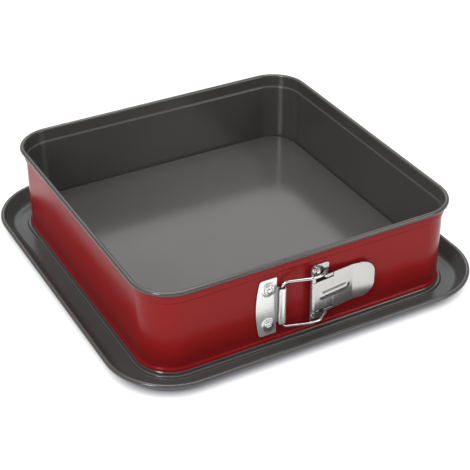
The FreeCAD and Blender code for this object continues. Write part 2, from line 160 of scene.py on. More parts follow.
def grid_faces(rows, cols, close_rows, close_cols):
    """Corner indices of the quads between neighbouring grid points, as one array."""
    i = np.arange(rows if close_rows else rows - 1)
    j = np.arange(cols if close_cols else cols - 1)
    i, j = [a.ravel() for a in np.meshgrid(i, j, indexing="ij")]
    i2, j2 = (i + 1) % rows, (j + 1) % cols
    return np.stack([i * cols + j, i2 * cols + j, i2 * cols + j2, i * cols + j2], axis=1)


def points_per_face(rows, cols, part):
    """Section column that each quad of a part's grid starts from, in the order of grid_faces."""
    turns = rows if part.get("close_rows", False) else rows - 1
    around = cols if part.get("close_cols", True) else cols - 1
    return np.tile(np.arange(around), turns)


def signed_volume(points, polygons):
    """Sum of the tetrahedra from the origin to each fan triangle of the polygons."""
    fans = np.concatenate([np.stack([np.full(len(p) - 2, p[0]), p[1:-1], p[2:]], axis=1)
                           for p in polygons])
    a, b, c = (points[fans[:, k]] for k in range(3))
    return np.einsum("ij,ij->i", a, np.cross(b, c)).sum() / 6


def surface(name, parts):
    """One mesh object from parts, each a dict of a grid in millimetres and how it closes.

    The grid's faces are shaded smooth and its flat ends are not, so an end doesn't bend the light."""
    all_points, all_faces, all_uv, all_slots, all_smooth = [], [], [], [], []
    offset = 0
    for part in parts:
        grid = part["grid"]
        rows, cols = grid.shape[:2]
        points = grid.reshape(-1, 3) * MM
        faces = list(grid_faces(rows, cols, part.get("close_rows", False), part.get("close_cols", True)))
        for row in part.get("caps", ()):
            faces.append((np.arange(cols) + (row % rows) * cols)[::-1] if row else np.arange(cols))
        faces += [np.array(extra) for extra in part.get("extra", ())]
        if signed_volume(points, faces) < 0:
            faces = [f[::-1] for f in faces]
        all_points.append(points)
        all_faces += [f + offset for f in faces]
        steps = np.linalg.norm(np.diff(grid, axis=0), axis=2).mean(axis=1)
        around = np.linalg.norm(np.diff(grid, axis=1), axis=2).mean(axis=0)
        u = np.concatenate([[0], np.cumsum(steps)])[:, None] * np.ones((1, cols))
        v = np.concatenate([[0], np.cumsum(around)])[None, :] * np.ones((rows, 1))
        all_uv.append(np.stack([u.ravel(), v.ravel()], axis=1) * MM)
        second = part.get("second_finish", np.zeros(cols, bool))
        grid_cols = points_per_face(rows, cols, part)
        all_slots += [int(second[j]) for j in grid_cols] + [0] * (len(faces) - len(grid_cols))
        all_smooth += [True] * len(grid_cols) + [False] * (len(faces) - len(grid_cols))
        offset += len(points)
    mesh = bpy.data.meshes.new(name)
    points = np.concatenate(all_points)
    mesh.from_pydata(points.tolist(), [], [f.tolist() for f in all_faces])
    uv_map = mesh.uv_layers.new(name="along")
    corner = np.zeros(len(mesh.loops), np.int32)
    mesh.loops.foreach_get("vertex_index", corner)
    uv_map.data.foreach_set("uv", np.concatenate(all_uv)[corner].astype(np.float32).ravel())
    mesh.polygons.foreach_set("material_index", np.array(all_slots, np.int32))
    mesh.polygons.foreach_set("use_smooth", np.array(all_smooth))
    mesh.validate()
    obj = bpy.data.objects.new(name, mesh)
    bpy.context.scene.collection.objects.link(obj)
    print(name, "vertices", len(points), "faces", len(mesh.polygons))
    return obj

# %% [markdown]
# ## The rounded square
# Ring, rims and tray all follow the same rounded square. Its four corners turn about the same four
# centres, so a section can be carried round by one formula: a point with reach r and height z goes
# to B + r N + z up, where B runs along the inner square that joins the corner centres and N is the
# outward direction. On a flat side N stands still, and at a corner B stands still while N turns.

# %% Carry a section round the rounded square
CORNER_CENTRE = 95.0    # mm from the middle of the pan to each corner's centre
CORNER_STEPS = 26


def side_stations(side, start, end):
    """B and N along one flat side, with support stations near both ends."""
    run = np.array([start, start + SUPPORT, *np.linspace(start, end, 9)[1:-1], end - SUPPORT, end])
    turn = unit(90 * side)
    base = CORNER_CENTRE * turn + run[:, None] * np.array([-turn[1], turn[0]])
    return base, np.repeat([turn], len(run), axis=0)


def corner_stations(side):
    """B and N round the corner after a side, anticlockwise seen from above."""
    angles = np.radians(90 * side + np.linspace(0, 90, CORNER_STEPS + 1)[1:-1])
    normals = np.stack([np.cos(angles), np.sin(angles)], axis=1)
    corner = CORNER_CENTRE * (unit(90 * side) + unit(90 * side + 90))
    return np.repeat([corner], len(angles), axis=0), normals


def carry(stations, section):
    """Grid of B + r N + z up for every station and every section point (r, z)."""
    base = np.concatenate([b for b, _ in stations])
    normal = np.concatenate([n for _, n in stations])
    flat = base[:, None, :] + section[None, :, :1] * normal[:, None, :]
    height = np.broadcast_to(section[None, :, 1:], flat.shape[:2] + (1,))
    return np.concatenate([flat, height], axis=2)

# %% Sections of ring and tray, in millimetres
RING_SHEET = 0.7
WALL_INNER = 119.2
WALL_OUTER = WALL_INNER + RING_SHEET
WALL_LINE = WALL_INNER + RING_SHEET / 2 - CORNER_CENTRE
COLLAR_LINE = WALL_LINE + 1.1
FOOT_LINE = WALL_LINE + 0.9
FOOT_Z = 2.9
RIM_AXIS_Z = 68.7
RIM_LINE_R = 1.45
STEP_Z = 60.1

SEAM_X = -23.3
SEAM_HALF_GAP = 0.08

TRAY_SHEET = 0.8
TRAY_HALF = 144.0
TRAY_ROLL_R = 1.4
TRAY_WALL_ANGLE = 60.0
ROLL_CENTRE = np.array([TRAY_HALF - TRAY_ROLL_R - TRAY_SHEET / 2 - CORNER_CENTRE, 9.9])
FLOOR_TOP = 14.3        # baking floor above the table
SEAT_TOP = 2.6          # where the ring's foot stands
SEAT_REACH = 3.8        # from the ring's wall to the edge of the seat
FLOOR_CLEARANCE = 0.3   # between the raised floor and the ring
RIM_WIRE_R = 1.04
TRAY_WIRE_R = 0.94

# %% [markdown]
# ## The ring
# The real ring is one band of lacquered sheet: deep red outside, grey non-stick inside. It has a
# bead at its foot, a stepped collar under the rim, and a rim rolled outwards, so the grey face
# comes over the top of the roll. The band is made as two pieces that meet behind the left wall.
# The first stays with the latch's lever. The second is given no body here; on the real band its
# back end stays with the first and its front end follows the catch plate, which is how it springs open.

# %% Ring surfaces
ring_line, ring_normals = bent_line(
    [(FOOT_LINE + 0.75, FOOT_Z + 0.35), (FOOT_LINE, FOOT_Z + 1.5), (FOOT_LINE, FOOT_Z + 2.8),
     (WALL_LINE, FOOT_Z + 4.3), (WALL_LINE, STEP_Z - 0.6), (COLLAR_LINE, STEP_Z + 0.6),
     (COLLAR_LINE, RIM_AXIS_Z)],
    [0.4, 0.8, 0.8, 0.8, 0.8], RIM_LINE_R, -300, step=12)
ring_section, ring_side = sheet_outline(ring_line, ring_normals, RING_SHEET)
LIP_TOP = FOOT_Z + 1.5
ring_lacquer = (ring_side < 0.25) & (ring_section[:, 1] > LIP_TOP)

fixed_stations = [side_stations(3, SEAM_X + SEAM_HALF_GAP, CORNER_CENTRE), corner_stations(3),
                  side_stations(0, -CORNER_CENTRE, CORNER_CENTRE), corner_stations(0),
                  side_stations(1, -CORNER_CENTRE, CORNER_CENTRE), corner_stations(1),
                  side_stations(2, -CORNER_CENTRE, -CORNER_CENTRE + 1.0)]
free_stations = [side_stations(2, -CORNER_CENTRE + 1.0, CORNER_CENTRE), corner_stations(2),
                 side_stations(3, -CORNER_CENTRE, SEAM_X - SEAM_HALF_GAP)]
ring_fixed = surface("ring_band_fixed_side", [dict(grid=carry(fixed_stations, ring_section),
                                                   second_finish=ring_lacquer, caps=(0, -1))])
ring_free = surface("ring_band_free_side", [dict(grid=carry(free_stations, ring_section),
                                                 second_finish=ring_lacquer, caps=(0, -1))])

wire_angles = np.radians(np.arange(0, 360, 30))
rim_wire_section = np.array([COLLAR_LINE + RIM_LINE_R, RIM_AXIS_Z]) + RIM_WIRE_R * np.stack(
    [np.cos(wire_angles), np.sin(wire_angles)], axis=1)
rim_wire_fixed = surface("rim_wire_fixed_length",
                         [dict(grid=carry(fixed_stations, rim_wire_section), caps=(0, -1))])
rim_wire_free = surface("rim_wire_free_length",
                        [dict(grid=carry(free_stations, rim_wire_section), caps=(0, -1))])

# %% [markdown]
# ## The strip behind the seam
# Batter would run out where the ring's ends meet, so one end carries a thin strip that reaches
# behind the other. It is a rounded plate with softened edges, and a narrow joggle joins it to its
# own side of the ring. Both are outlines stacked at a few depths.

# %% Strip that closes the seam from inside
FLAP_REACH = 8.0
FLAP_GAP = 0.3
FLAP_LOW, FLAP_HIGH = 15.5, 57.7
FLAP_MIDDLE, FLAP_HALF = (FLAP_LOW + FLAP_HIGH) / 2, (FLAP_HIGH - FLAP_LOW) / 2
FLAP_SHEET, FLAP_SOFTENING = 0.7, 0.08
JOGGLE_X, JOGGLE_HALF = 6.0, 2.0


def rounded_rectangle(half_x, half_z, radius, count=7):
    """Closed outline of a rectangle about (0, 0) with quarter-round corners."""
    points = []
    for k, (sx, sz) in enumerate([(1, 1), (-1, 1), (-1, -1), (1, -1)]):
        angles = np.radians(90 * k + np.linspace(0, 90, count))
        centre = np.array([sx * (half_x - radius), sz * (half_z - radius)])
        points.append(centre + radius * np.stack([np.cos(angles), np.sin(angles)], axis=1))
    return np.concatenate(points)


flap_outline = rounded_rectangle(FLAP_REACH, FLAP_HALF, 2.0)
flap_depths = np.array([0.0, FLAP_SOFTENING, FLAP_SHEET - FLAP_SOFTENING, FLAP_SHEET])
flap_inset = np.array([FLAP_SOFTENING, 0.0, 0.0, FLAP_SOFTENING])
flap_grid = np.stack([np.stack([SEAM_X + flap_outline[:, 0] * (1 - inset / FLAP_REACH),
                                np.full(len(flap_outline), -WALL_INNER + FLAP_GAP + depth),
                                FLAP_MIDDLE + flap_outline[:, 1] * (1 - inset / FLAP_HALF)], axis=1)
                      for depth, inset in zip(flap_depths, flap_inset)])
joggle_outline = rounded_rectangle(JOGGLE_HALF, FLAP_HALF - 0.2, 0.1, count=2)
joggle_grid = np.stack([np.stack([SEAM_X + JOGGLE_X + joggle_outline[:, 0],
                                  np.full(len(joggle_outline), -WALL_INNER + depth),
                                  FLAP_MIDDLE + joggle_outline[:, 1]], axis=1)
                        for depth in (-0.05, FLAP_GAP + 0.05)])
seam_strip = surface("seam_strip", [dict(grid=flap_grid, caps=(0, -1)),
                                    dict(grid=joggle_grid, caps=(0, -1))])

# %% [markdown]
# ## The drip tray
# The tray is pressed from one coated sheet: a raised baking floor, a narrow seat for the ring's
# foot, a channel that catches juice, and a sloping wall that ends in a roll. The same carry gives
# all of it, and one flat face closes the middle of the floor.

# %% Tray surface
plate_line = FLOOR_TOP - TRAY_SHEET / 2
seat_line = SEAT_TOP - TRAY_SHEET / 2
channel_line = TRAY_SHEET / 2
edge_low = WALL_INNER - FLOOR_CLEARANCE - TRAY_SHEET / 2 - CORNER_CENTRE
shoulder = WALL_OUTER + SEAT_REACH - TRAY_SHEET / 2 - CORNER_CENTRE
roll_start = ROLL_CENTRE + unit(TRAY_WALL_ANGLE + 90) * TRAY_ROLL_R
wall_foot = roll_start[0] - (roll_start[1] - channel_line) / math.tan(math.radians(TRAY_WALL_ANGLE))
tray_line, tray_normals = bent_line(
    [(edge_low - 8.0, plate_line), (edge_low - 0.3, plate_line), (edge_low, seat_line),
     (shoulder, seat_line), (shoulder, channel_line), (wall_foot, channel_line), tuple(roll_start)],
    [1.8, 1.1, 0.9, 0.9, 5.0], TRAY_ROLL_R, -285, step=12)
tray_outline, _ = sheet_outline(tray_line, tray_normals, TRAY_SHEET)
tray_section = tray_outline[:-CAP_POINTS]
tray_stations = []
for side in range(4):
    tray_stations += [side_stations(side, -CORNER_CENTRE, CORNER_CENTRE), corner_stations(side)]
tray_grid = carry(tray_stations, tray_section)
rows, cols = tray_grid.shape[:2]
top_face = np.arange(rows) * cols
under_face = top_face + cols - 1
tray = surface("drip_tray", [dict(grid=tray_grid, close_rows=True, close_cols=False,
                                  extra=(top_face[::-1], under_face))])
tray_wire_section = ROLL_CENTRE + TRAY_WIRE_R * np.stack([np.cos(wire_angles), np.sin(wire_angles)], axis=1)
tray_wire = surface("tray_rim_core", [dict(grid=carry(tray_stations, tray_wire_section), close_rows=True)])

# %% [markdown]
# ## The latch
# The latch is drawn in its own flat frame: x to the right along the front wall, y outwards from
# the wall's face, and z up and down from the latch's centre line. Its sheet parts are bars of
# rounded rectangular section carried along a bent line. Where the real sheet is pressed into a rib
# or a boss, a height worked out from the distance to the rib's line is added along the normal.

# %% Latch frame and sheet bars
LATCH_SHEET = 0.9
LATCH_Z = 33.5
HINGE = np.array([-1.6, 4.6])
SLOPE = 6.8
EDGE = 0.16             # mm, rounding of the cut edges


def on_wall(grid):
    """From the latch frame to the pan's frame."""
    x, out, z = grid[..., 0], grid[..., 1], grid[..., 2]
    return np.stack([x, -WALL_OUTER - out, z + LATCH_Z], axis=-1)


def sheet_bar(line, normals, low, high, across=8, press=None, thickness=LATCH_SHEET):
    """A strip of sheet: the line carried between two heights, which may change along it.

    Each station holds a rounded rectangle, thickness by height. press(s, z) is added along the
    normal on both faces, where s is the distance along the line."""
    s = np.concatenate([[0], np.cumsum(np.linalg.norm(np.diff(line, axis=0), axis=1))])
    low = np.broadcast_to(np.asarray(low, float), s.shape)
    high = np.broadcast_to(np.asarray(high, float), s.shape)
    half = thickness / 2
    quarter = np.radians(np.array([0, 30, 60, 90]))
    share = np.linspace(0, 1, across)
    top_off = np.concatenate([half - EDGE + EDGE * np.sin(quarter), np.full(across - 2, half),
                              half - EDGE + EDGE * np.sin(quarter[::-1])])
    top_in = np.concatenate([EDGE * (1 - np.cos(quarter)), np.full(across - 2, EDGE),
                             -EDGE * (1 - np.cos(quarter[::-1]))])
    top_share = np.concatenate([np.zeros(4), share[1:-1], np.ones(4)])
    offset = np.concatenate([top_off, -top_off[::-1]])
    inset = np.concatenate([top_in, top_in[::-1]])
    place = np.concatenate([top_share, top_share[::-1]])
    z = low[:, None] + place * (high - low)[:, None] + np.where(np.abs(inset) < EDGE, inset, 0)
    lift = press(s[:, None], z) if press else 0
    flat = line[:, None, :] + (offset[None, :] + lift)[..., None] * normals[:, None, :]
    grid = np.concatenate([flat, z[..., None]], axis=2)
    return dict(grid=on_wall(grid), caps=(0, -1))


def smooth_hump(distance, reach):
    """1 at distance 0, 0 from reach on: half of (1 + cos)."""
    share = np.clip(distance / reach, 0, 1)
    return 0.5 + 0.5 * np.cos(math.pi * share)


def corner_ease(s, start, end, radius):
    """How much a rounded corner takes off a strip's height near either end of its length."""
    near = np.minimum(np.clip(s - start, 0, radius), np.clip(end - s, 0, radius))
    return radius - np.sqrt(np.clip(radius ** 2 - (radius - near) ** 2, 0, None))


def end_spaced(start, end, radius, spacing):
    """Distances from start to end that crowd together near rounded ends."""
    ease = start + radius * (1 - np.cos(np.linspace(0, math.pi / 2, 9)))
    inner = np.linspace(start + radius, end - radius, max(3, int((end - start - 2 * radius) / spacing)))
    return np.unique(np.round(np.concatenate([ease, inner, end - (ease - start)]), 5))

# %% [markdown]
# ## Catch plate
# The plate's left edge is a shallow curve and its two rivets sit on pressed bosses. Its tongue
# stands over the seam and is bent back to the left as an open hook for the wire.

# %% Catch plate surface
CATCH_LEFT, CATCH_RIGHT, CATCH_HALF = -43.9, -28.0, 23.0
CATCH_BOW = 2.9
CATCH_CORNER_R = 1.6
CATCH_RIVET_X, CATCH_RIVET_Z = -34.4, 15.2
BOSS_R, BOSS_FLAT_R, BOSS_HEIGHT = 6.1, 4.2, 0.9
HOOK_HALF = 14.4
HOOK_BEND = 2.2
HOOK_RIGHT = -22.55
LIP_LEFT = -28.0
LIP_TOP_END, LIP_GROOVE = -25.6, -26.1
GROOVE_DEPTH, LIP_DROP, GROOVE_BEND = 0.6, 0.15, 0.5
HOOK_CORNER_R = 1.2


def boss_press(x, z):
    """Flat-topped bosses: full height inside the rivet's head, easing down to the plate."""
    distance = np.minimum(np.hypot(x - CATCH_RIVET_X, z - CATCH_RIVET_Z),
                          np.hypot(x - CATCH_RIVET_X, z + CATCH_RIVET_Z))
    ease = np.clip((BOSS_R - distance) / (BOSS_R - BOSS_FLAT_R), 0, 1)
    return BOSS_HEIGHT * ease ** 2 * (3 - 2 * ease)


bow_r = (CATCH_HALF ** 2 + CATCH_BOW ** 2) / (2 * CATCH_BOW)
z_rows = end_spaced(-CATCH_HALF, CATCH_HALF, CATCH_CORNER_R, 0.75)
left_edge = CATCH_LEFT + bow_r - np.sqrt(bow_r ** 2 - z_rows ** 2)
left_edge = left_edge + corner_ease(z_rows, -CATCH_HALF, CATCH_HALF, CATCH_CORNER_R)
right_edge = CATCH_RIGHT - corner_ease(z_rows, -CATCH_HALF, CATCH_HALF, 0.8)


def plate_part(rows_z, left, right, press, across=30, thickness=LATCH_SHEET):
    """A flat plate on the wall between its left and right edge at each height, with rounded top edges."""
    quarter = np.radians([0, 30, 60, 90])
    draw = EDGE * (1 - np.cos(quarter))
    drop = EDGE * (1 - np.sin(quarter))
    share = np.linspace(0, 1, across)[1:-1]
    middle = left[:, None] + EDGE + share * (right - left - 2 * EDGE)[:, None]
    x_top = np.concatenate([left[:, None] + draw, middle, right[:, None] - draw[::-1]], axis=1)
    out_top = thickness - np.concatenate([drop, np.zeros(across - 2), drop[::-1]]) + np.zeros_like(x_top)
    if press:
        out_top = out_top + press(x_top, rows_z[:, None])
    x = np.concatenate([x_top, x_top[:, ::-1]], axis=1)
    out = np.concatenate([out_top, np.full_like(out_top, 0.02)], axis=1)
    z = np.broadcast_to(rows_z[:, None], x.shape)
    return dict(grid=on_wall(np.stack([x, out, z], axis=2)), caps=(0, -1))


catch_face = plate_part(z_rows, left_edge, right_edge, boss_press)
LIP_OUT = LATCH_SHEET / 2 + 2 * HOOK_BEND
hook_line, hook_normals = bent_line(
    [(CATCH_RIGHT, LATCH_SHEET / 2), (HOOK_RIGHT, LATCH_SHEET / 2),
     (HOOK_RIGHT, LIP_OUT), (LIP_TOP_END, LIP_OUT), (LIP_GROOVE, LIP_OUT - GROOVE_DEPTH),
     (LIP_LEFT, LIP_OUT - LIP_DROP)],
    [HOOK_BEND, HOOK_BEND, GROOVE_BEND, GROOVE_BEND], spacing=0.5, step=8)
hook_s = np.concatenate([[0], np.cumsum(np.linalg.norm(np.diff(hook_line, axis=0), axis=1))])
hook_trim = corner_ease(hook_s, -5.0, hook_s[-1], HOOK_CORNER_R)
hook_part = sheet_bar(hook_line, hook_normals, -HOOK_HALF + hook_trim, HOOK_HALF - hook_trim, across=12)
catch = surface("catch_plate_with_hook", [catch_face, hook_part])

# %% [markdown]
# ## Bracket
# The bracket is riveted to the right of the seam. Above and below the lever its sheet rises from
# the wall and is rolled into the two outer knuckles of the hinge.

# %% Bracket surface
BRACKET_HALF = 22.5
BRACKET_RIGHT = 13.0
NECK_HALF = 11.8
KNUCKLE_LOW = 12.1
KNUCKLE_LINE_R = 1.6
BRACKET_RISE = 135.0
BRACKET_RIVET_X, BRACKET_RIVET_Z = 4.4, 16.6

knuckle_start = HINGE + unit(BRACKET_RISE + 90) * KNUCKLE_LINE_R
foot_x = knuckle_start[0] - (knuckle_start[1] - LATCH_SHEET / 2) / math.tan(math.radians(BRACKET_RISE))
flat_left = foot_x + 0.9
knuckle_line, knuckle_normals = bent_line(
    [(flat_left, LATCH_SHEET / 2), (foot_x, LATCH_SHEET / 2), tuple(knuckle_start)], [1.0],
    KNUCKLE_LINE_R, -215, step=10)
bracket_rows = end_spaced(-BRACKET_HALF, BRACKET_HALF, 2.0, 1.5)
bracket_face = plate_part(
    bracket_rows, np.full(len(bracket_rows), flat_left),
    BRACKET_RIGHT - corner_ease(bracket_rows, -BRACKET_HALF, BRACKET_HALF, 2.0), None, across=14)
bracket = surface("lever_bracket_plate", [
    bracket_face, sheet_bar(knuckle_line, knuckle_normals, KNUCKLE_LOW, BRACKET_HALF),
    sheet_bar(knuckle_line, knuckle_normals, -BRACKET_HALF, -KNUCKLE_LOW)])

# %% [markdown]
# ## Lever
# The lever is rolled round the hinge pin at its neck and widens at two shoulders, where narrow
# ears are rolled into eyes for the wire's ends. A long rib is pressed up along its middle, and
# after a crease its end turns away from the wall as a thumb tab.

# %% Lever surface
LEVER_HALF, TAB_HALF = 15.2, 14.2
EYE_REACH, SLIT_END, SLIT_WIDTH = 11.0, 16.0, 1.2
CREASE_REACH, TAB_LENGTH, TAB_BEND = 33.3, 17.2, 12.5
TAB_CORNER_R = 10.5
RIB_START, RIB_END, RIB_HALF, RIB_HEIGHT = 3.2, 30.8, 4.3, 1.3
EYE_LINE_R = 1.55
NECK_LAP = 1.2          # how far the neck runs on under the body, out of sight
NECK_START = SLIT_END + NECK_LAP

lever_out, lever_along = unit(90 - SLOPE), unit(-SLOPE)


def lever_point(along, out=0.0):
    """Point at a distance along the lever and out from its sheet's middle line."""
    return HINGE + lever_out * (KNUCKLE_LINE_R + out) + lever_along * along


crease = lever_point(CREASE_REACH)
tip = crease + unit(TAB_BEND - SLOPE) * TAB_LENGTH
neck_line, neck_normals = bent_line(
    [tuple(lever_point(NECK_START, -0.02)), tuple(lever_point(0))], [],
    KNUCKLE_LINE_R, 275, spacing=0.5, step=10)
body_line, body_normals = bent_line([tuple(lever_point(SLIT_END)), tuple(crease), tuple(tip)], [6.0],
                                    spacing=0.5, step=1.5)
eye_line, eye_normals = bent_line([tuple(lever_point(SLIT_END)), tuple(lever_point(EYE_REACH))], [],
                                  EYE_LINE_R, 255, spacing=0.8, step=12)


def rib_height(along, z):
    """The rib: a smooth hump round the nearest point of a straight line with two ends."""
    nearest = np.clip(along, RIB_START + RIB_HALF, RIB_END - RIB_HALF)
    return RIB_HEIGHT * smooth_hump(np.hypot(along - nearest, z), RIB_HALF)


body_s = np.concatenate([[0], np.cumsum(np.linalg.norm(np.diff(body_line, axis=0), axis=1))])
body_length = body_s[-1]
fine_end = body_length - TAB_CORNER_R * (1 - np.cos(np.linspace(math.pi / 2, 0, 26)))[1:]
keep = body_s < body_length - TAB_CORNER_R
tail_s = np.concatenate([[body_length - TAB_CORNER_R], fine_end])
lead_line, lead_normals = (
    np.concatenate([rows[keep], np.stack([np.interp(tail_s, body_s, rows[:, k]) for k in (0, 1)], axis=1)])
    for rows in (body_line, body_normals))
lead_s = np.concatenate([body_s[keep], tail_s])
taper = np.clip((lead_s - 3.0) / (body_length - 3.0), 0, 1)
width = LEVER_HALF + (TAB_HALF - LEVER_HALF) * taper
width = width - corner_ease(lead_s, -20.0, body_length, TAB_CORNER_R) * 0.96
width = width - corner_ease(lead_s, 0.0, 200.0, 0.5)
lever_body = sheet_bar(lead_line, lead_normals, -width, width, across=62,
                       press=lambda s, z: rib_height(SLIT_END + s, z))
lever_neck = sheet_bar(neck_line, -neck_normals, -NECK_HALF, NECK_HALF, across=50,
                       press=lambda s, z: rib_height(NECK_START - s, z) * (s < NECK_START))
SHOULDER = NECK_HALF + SLIT_WIDTH
lever_eyes = [sheet_bar(eye_line, eye_normals, low, high, across=5)
              for low, high in ((SHOULDER, LEVER_HALF), (-LEVER_HALF, -SHOULDER))]
lever = surface("lever_with_thumb_tab", [lever_body, lever_neck] + lever_eyes)

# %% [markdown]
# ## Wire bail
# The bail is one bent wire. Its ends turn inwards into the lever's eyes, its legs bow out over the
# hinge, and its cross piece lies in the hook. A circle is carried along the bent line in space,
# with two directions that are turned only as far as the line turns.

# %% Wire and rivets
BAIL_R = 1.05
WIRE_END, EYE_BEND, LEG_HALF = 13.0, 17.15, 18.6    # half heights: ends, bends at the eyes, legs
BOW_OUT, BOW_RIGHT, BOW_LEFT = 8.5, 4.4, 3.4        # the legs' bow over the hinge
CROSS_X, CROSS_OUT = -24.6, 2.35                    # the cross piece in the hook
HALF_BENDS = [1.4, 5.0, 5.0, 4.2]                   # bend radii from the eye to the cross piece
EYE = HINGE + lever_out * (KNUCKLE_LINE_R - EYE_LINE_R) + lever_along * EYE_REACH


def space_line(points, bends, step=9.0):
    """Straight runs in space joined by tangent arcs, sampled as points."""
    points = [np.array(p, float) for p in points]
    out = [points[0]]
    for before, corner, after, bend in zip(points, points[1:], points[2:], bends):
        first = (corner - before) / np.linalg.norm(corner - before)
        second = (after - corner) / np.linalg.norm(after - corner)
        turn = math.acos(np.clip(first @ second, -1, 1))
        start = corner - first * bend * math.tan(turn / 2)
        axis = np.cross(first, second) / math.sin(turn)
        centre = start + np.cross(axis, first) * bend
        count = max(3, int(math.degrees(turn) / step) + 2)
        angles = np.linspace(0, turn, count)[:, None]
        arm = start - centre
        out += list(centre + arm * np.cos(angles) + np.cross(axis, arm) * np.sin(angles))
    out.append(points[-1])
    return np.array(out)


def tube(line, radius, sides=16, round_end=0.25):
    """Circle carried along a line in space; both ends are closed and slightly rounded."""
    ways = np.gradient(line, axis=0)
    ways /= np.linalg.norm(ways, axis=1)[:, None]
    first = np.cross(ways[0], [0.3, 0.9, 0.2])
    frames = []
    for way in ways:
        first = first - (first @ way) * way
        first = first / np.linalg.norm(first)
        frames.append(first)
    first = np.array(frames)
    second = np.cross(ways, first)
    angles = np.linspace(0, 2 * math.pi, sides, endpoint=False)
    line = np.concatenate([line[:1], line[:1] + ways[0] * round_end, line[1:-1],
                           line[-1:] - ways[-1] * round_end, line[-1:]])
    first, second = (np.concatenate([rows[:1], rows, rows[-1:]]) for rows in (first, second))
    radii = np.full(len(line), radius)
    radii[[0, -1]] = radius - round_end
    ring = np.cos(angles)[None, :, None] * first[:, None] + np.sin(angles)[None, :, None] * second[:, None]
    return dict(grid=on_wall(line[:, None, :] + radii[:, None, None] * ring), caps=(0, -1))


half_bail = [(EYE[0], EYE[1], WIRE_END), (EYE[0], EYE[1], EYE_BEND),
             (HINGE[0] + BOW_RIGHT, BOW_OUT, LEG_HALF), (HINGE[0] - BOW_LEFT, BOW_OUT, LEG_HALF),
             (CROSS_X, CROSS_OUT, LEG_HALF)]
bail_points = half_bail + [(x, out, -z) for x, out, z in reversed(half_bail)]
bail = surface("wire_loop", [tube(space_line(bail_points, HALF_BENDS + HALF_BENDS[::-1]), BAIL_R)])


def turned(profile, x, z, sides=40):
    """Profile of (radius, distance from the wall) spun about an axis that stands out of the wall."""
    profile = np.array(profile)
    angles = np.linspace(0, 2 * math.pi, sides, endpoint=False)
    grid = np.stack([x + profile[:, :1] * np.cos(angles), np.repeat(profile[:, 1:], sides, axis=1),
                     z + profile[:, :1] * np.sin(angles)], axis=2)
    return dict(grid=on_wall(grid), caps=(0, -1))


SHANK_R, INNER_HEAD_R = 1.6, 2.3
CATCH_HEAD_R, BRACKET_HEAD_R = 3.9, 2.7


def rivet_profile(base, head_r):
    """Inner head, shank, and outer head with a flat flange and a raised round centre, as set by a die."""
    inner = [(0.3, -1.2), (INNER_HEAD_R - 0.2, -1.2), (INNER_HEAD_R, -1.1),
             (INNER_HEAD_R, -0.72), (SHANK_R, -0.7)]
    flange = [(SHANK_R, base), (head_r - 0.15, base), (head_r, base + 0.12), (head_r, base + 0.4),
              (head_r - 0.12, base + 0.56), (head_r - 0.4, base + 0.66), (head_r * 0.68, base + 0.8)]
    centre_r, rise = head_r * 0.6, head_r * 0.46 - 0.85
    angles = np.radians(np.linspace(0, 82, 9))
    centre = [(centre_r * math.cos(a), base + 0.85 + rise * math.sin(a)) for a in angles]
    return inner + flange + centre


rivets = {}
for sheet, x, z, base, head_r in (
        ("catch", CATCH_RIVET_X, CATCH_RIVET_Z, LATCH_SHEET + BOSS_HEIGHT, CATCH_HEAD_R),
        ("bracket", BRACKET_RIVET_X, BRACKET_RIVET_Z, LATCH_SHEET, BRACKET_HEAD_R)):
    for level, way in (("upper", 1), ("lower", -1)):
        label = f"{sheet}_rivet_{level}"
        rivets[label] = surface(label + "_head", [turned(rivet_profile(base, head_r), x, way * z)])

PIN_R, PIN_HEAD_R, PIN_SIDES = 1.1, 1.7, 24
PIN_END, PIN_SHOULDER = 23.3, 22.55     # half lengths over the two heads and between them
pin_half = [(PIN_HEAD_R - 0.2, PIN_END), (PIN_HEAD_R, PIN_END - 0.2), (PIN_HEAD_R, PIN_SHOULDER + 0.1),
            (PIN_HEAD_R - 0.2, PIN_SHOULDER), (PIN_R, PIN_SHOULDER)]
pin_angles = np.linspace(0, 2 * math.pi, PIN_SIDES, endpoint=False)
pin_rows = np.array(pin_half + [(r, -z) for r, z in reversed(pin_half)])
pin_grid = np.stack([HINGE[0] + pin_rows[:, :1] * np.cos(pin_angles),
                     HINGE[1] + pin_rows[:, :1] * np.sin(pin_angles),
                     np.repeat(pin_rows[:, 1:], PIN_SIDES, axis=1)], axis=2)
pin = surface("hinge_pin_bar", [dict(grid=on_wall(pin_grid), caps=(0, -1))])

# %% [markdown]
# ## Which piece stands for which CAD node, and what it moves with
# Each piece names the body it moves with, the CAD node it stands for and its slot. The ring's free
# side and the wire in its rim get no body: their meshes keep their place in the pan's frame. On the
# real pan their back ends stay put and their front ends follow the catch plate.

# %% Bodies, nodes and slots
RIDES = [
    (tray, "base", "tray_coating", ["base_tray"]),
    (tray_wire, "base", "rim_wire", ["tray_rim_wire"]),
    (ring_fixed, "ring_fixed", "ring_coating", ["ring_fixed_side"]),
    (seam_strip, "ring_fixed", "ring_coating", ["ring_fixed_side"]),
    (rim_wire_fixed, "ring_fixed", "rim_wire", ["rim_wire_fixed_side"]),
    (catch, "ring_free", "latch_steel", ["catch_plate"]),
    (bracket, "ring_fixed", "latch_steel", ["lever_bracket"]),
    (pin, "ring_fixed", "rivet_steel", ["hinge_pin"]),
    (lever, "lever", "latch_steel", ["lever"]),
    (bail, "bail", "bail_wire", ["wire_bail"]),
]
for label, piece in rivets.items():
    side = "ring_free" if label.startswith("catch") else "ring_fixed"
    RIDES.append((piece, side, "rivet_steel", [label]))
for piece, body, slot, nodes in RIDES:
    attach(piece, body)
    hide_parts(*nodes)
for piece, slot, node in ((ring_free, "ring_coating", "ring_free_side"),
                          (rim_wire_free, "rim_wire", "rim_wire_free_side")):
    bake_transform(piece)
    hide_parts(node)

